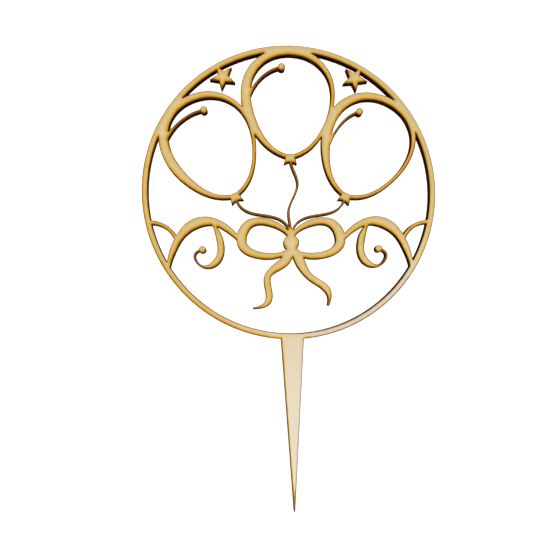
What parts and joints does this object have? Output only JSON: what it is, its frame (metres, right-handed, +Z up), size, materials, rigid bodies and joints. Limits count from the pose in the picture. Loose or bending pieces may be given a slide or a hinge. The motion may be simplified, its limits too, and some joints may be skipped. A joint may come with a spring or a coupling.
{
  "type": "cake topper",
  "caption": "Flat laser-cut plywood cake topper: a slim ring framing openwork balloons, a bow and scrolls, on a tapered stake that pushes into a cake.",
  "frame": {"origin": "on the stake's centre line, half way through the sheet, at the ring's lowest outer point, where the ring meets the cake's top once the stake is pushed home", "axes": "+Z up along the stake, +X to the right seen from the front, front face towards -Y"},
  "size_m": [0.12, 0.003, 0.1899],
  "materials": {
    "front_face_wood": "bare light face veneer, scorched gold along the laser cut, with charred cut walls",
    "core_wood": "bare cross-grain core veneer, charred nearly black on the laser-cut walls",
    "back_face_wood": "bare light face veneer with light smoke stain along the laser cut",
    "glue": "thin brown film of hardened resin glue, charred at the cut"
  },
  "bodies": {
    "root": {"front_veneer": "front_face_wood", "front_glue_film": "glue", "core_veneer": "core_wood", "back_glue_film": "glue", "back_veneer": "back_face_wood"}
  },
  "joints": []
}
